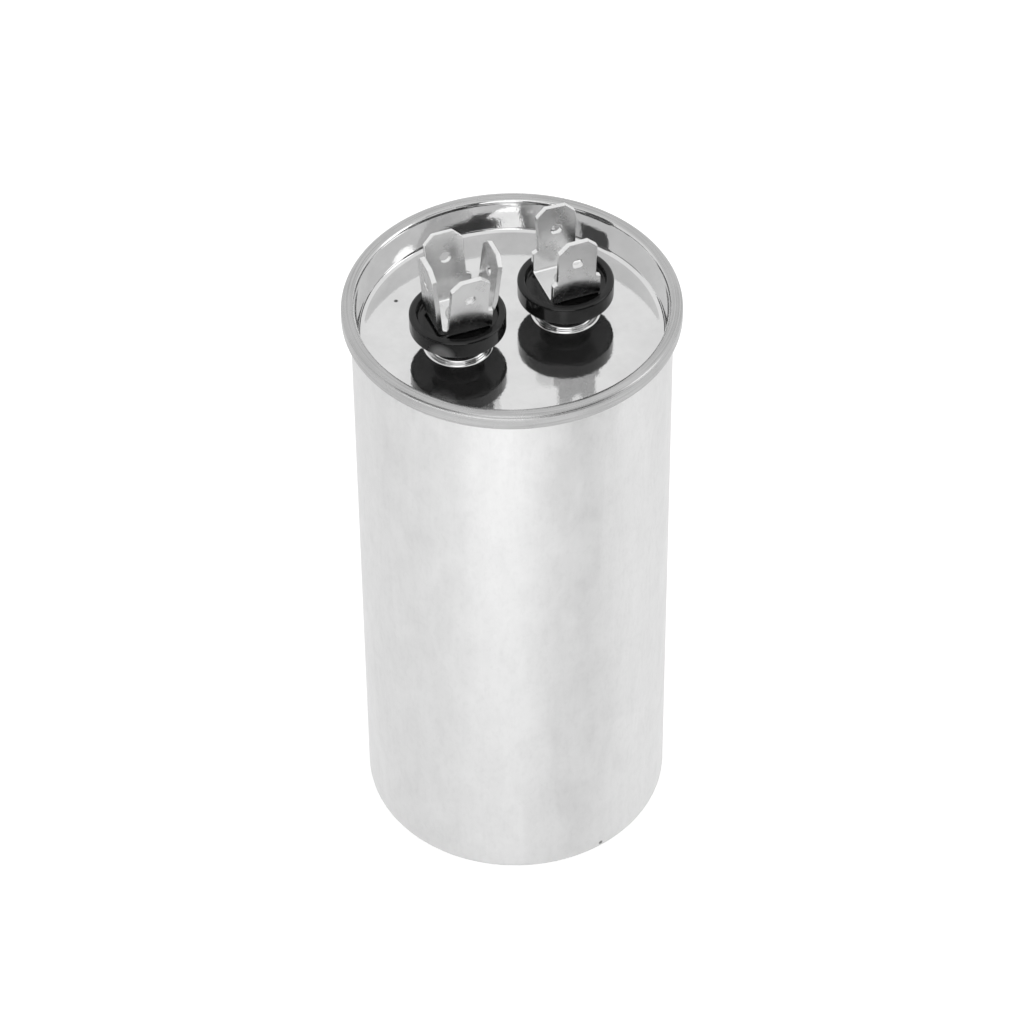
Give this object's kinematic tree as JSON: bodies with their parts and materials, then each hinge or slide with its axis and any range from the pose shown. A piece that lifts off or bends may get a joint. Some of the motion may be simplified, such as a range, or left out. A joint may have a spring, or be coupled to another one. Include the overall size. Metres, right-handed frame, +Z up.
{
  "type": "motor run capacitor",
  "caption": "Round aluminium can with a double-seamed lid and riveted terminals that carry quick-connect blades.",
  "frame": {"origin": "middle of the can's base", "axes": "+Z up along the can's axis, +X from the terminal with crossed blades towards the one with a pair, +Y towards the back"},
  "size_m": [0.0528, 0.0528, 0.1166],
  "materials": {
    "can_aluminium": "satin drawn",
    "lid_tinplate": "bright tinned",
    "seal_compound": "matte",
    "cup_black": "gloss moulded",
    "inner_plastic": "moulded",
    "tab_tinned_brass": "tin plated",
    "rivet_tinned": "tin plated",
    "lug_brass": "bright",
    "wire_copper": "tinned copper",
    "sprayed_zinc": "sprayed matte",
    "film_metallised": "metallised film",
    "sleeve_film": "film wrap"
  },
  "bodies": {
    "root": {"can": "can_aluminium", "lid": "lid_tinplate", "seam_seal": "seal_compound", "left_terminal_cup": "cup_black", "right_terminal_cup": "cup_black", "left_inner_insulator": "inner_plastic", "right_inner_insulator": "inner_plastic", "left_quad_tab": "tab_tinned_brass", "right_twin_tab": "tab_tinned_brass", "left_rivet": "rivet_tinned", "right_rivet": "rivet_tinned", "left_lug": "lug_brass", "right_lug": "lug_brass", "left_wire": "wire_copper", "right_wire": "wire_copper", "upper_spacer": "inner_plastic", "upper_end_spray": "sprayed_zinc", "film_winding": "film_metallised", "lower_end_spray": "sprayed_zinc", "core_tube": "inner_plastic", "insulating_sleeve": "sleeve_film", "winding_seat": "inner_plastic"}
  },
  "joints": []
}
